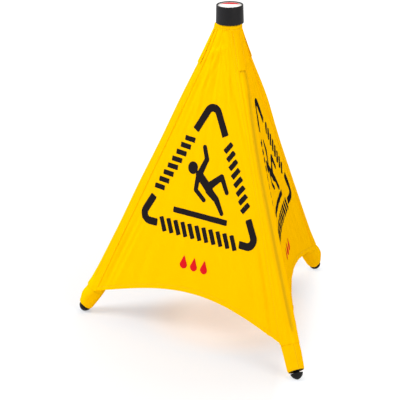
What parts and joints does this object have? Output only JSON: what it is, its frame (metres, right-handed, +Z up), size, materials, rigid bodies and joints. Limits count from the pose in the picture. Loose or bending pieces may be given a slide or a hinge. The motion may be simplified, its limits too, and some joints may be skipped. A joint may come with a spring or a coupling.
{
  "type": "pop-up floor sign",
  "caption": "Pop-up wet floor sign: a yellow cloth pyramid with a printed slip warning, sleeved over bent, spring-opened legs that hinge on a capped hub.",
  "frame": {"origin": "on the floor, on the cap's axis, amid the three feet", "axes": "+Z up along the cap's axis; leg_2 points along -X, and cover_panel_3, which spans leg_3 and leg_1, faces +X"},
  "size_m": [0.5613, 0.6424, 0.762],
  "materials": {
    "cap_plastic": "black moulded plastic with a fine spark texture",
    "label_vinyl": "glossy white self-adhesive disc with a plain red segment",
    "screw_steel": "zinc-plated steel",
    "hub_nylon": "black glass-filled nylon, moulded",
    "clamp_steel": "rolled steel strip",
    "pin_steel": "ground steel",
    "spring_steel": "oiled spring wire",
    "rod_steel": "zinc-plated steel rod",
    "foot_rubber": "black moulded rubber, slightly glossy",
    "cover_cloth": "yellow coated nylon cloth with a soft sheen",
    "print_ink": "black screen print on cloth",
    "red_ink": "red screen print on cloth",
    "seam_thread": "polyester sewing thread"
  },
  "bodies": {
    "hub": {"cap": "cap_plastic", "cap_label": "label_vinyl", "cap_screw": "screw_steel", "hub": "hub_nylon", "clamp_ring": "clamp_steel", "top_band": "cover_cloth", "hinge_pin_1": "pin_steel", "hinge_pin_2": "pin_steel", "hinge_pin_3": "pin_steel", "torsion_spring_1": "spring_steel", "torsion_spring_2": "spring_steel", "torsion_spring_3": "spring_steel", "cover_panel_1": "cover_cloth", "cover_panel_2": "cover_cloth", "cover_panel_3": "cover_cloth"},
    "leg_1": {"leg_knuckle_1": "hub_nylon", "leg_rod_1": "rod_steel", "foot_1": "foot_rubber", "leg_sleeve_1": "cover_cloth", "corner_patch_1": "cover_cloth"},
    "leg_2": {"leg_knuckle_2": "hub_nylon", "leg_rod_2": "rod_steel", "foot_2": "foot_rubber", "leg_sleeve_2": "cover_cloth", "corner_patch_2": "cover_cloth"},
    "leg_3": {"leg_knuckle_3": "hub_nylon", "leg_rod_3": "rod_steel", "foot_3": "foot_rubber", "leg_sleeve_3": "cover_cloth", "corner_patch_3": "cover_cloth"}
  },
  "joints": [
    {"name": "leg_1_fold", "type": "hinge", "parent": "hub", "child": "leg_1", "pos_m": [0.00675, 0.01169, 0.734], "axis": [-0.866, 0.5, 0], "range_deg": [0, 23.6], "stiffness_Nm_per_rad": 0.6, "springref_deg": -34.38, "deforming": ["torsion_spring_1", "cover_panel_1", "cover_panel_3"]},
    {"name": "leg_2_fold", "type": "hinge", "parent": "hub", "child": "leg_2", "pos_m": [-0.0135, 0, 0.734], "axis": [0, -1, 0], "range_deg": [0, 23.6], "stiffness_Nm_per_rad": 0.6, "springref_deg": -34.38, "deforming": ["torsion_spring_2", "cover_panel_1", "cover_panel_2"]},
    {"name": "leg_3_fold", "type": "hinge", "parent": "hub", "child": "leg_3", "pos_m": [0.00675, -0.01169, 0.734], "axis": [0.866, 0.5, 0], "range_deg": [0, 23.6], "stiffness_Nm_per_rad": 0.6, "springref_deg": -34.38, "deforming": ["torsion_spring_3", "cover_panel_2", "cover_panel_3"]}
  ],
  "couplings": [
    {"joint": "leg_2_fold", "follows": "leg_1_fold", "ratio": 1},
    {"joint": "leg_3_fold", "follows": "leg_1_fold", "ratio": 1}
  ]
}
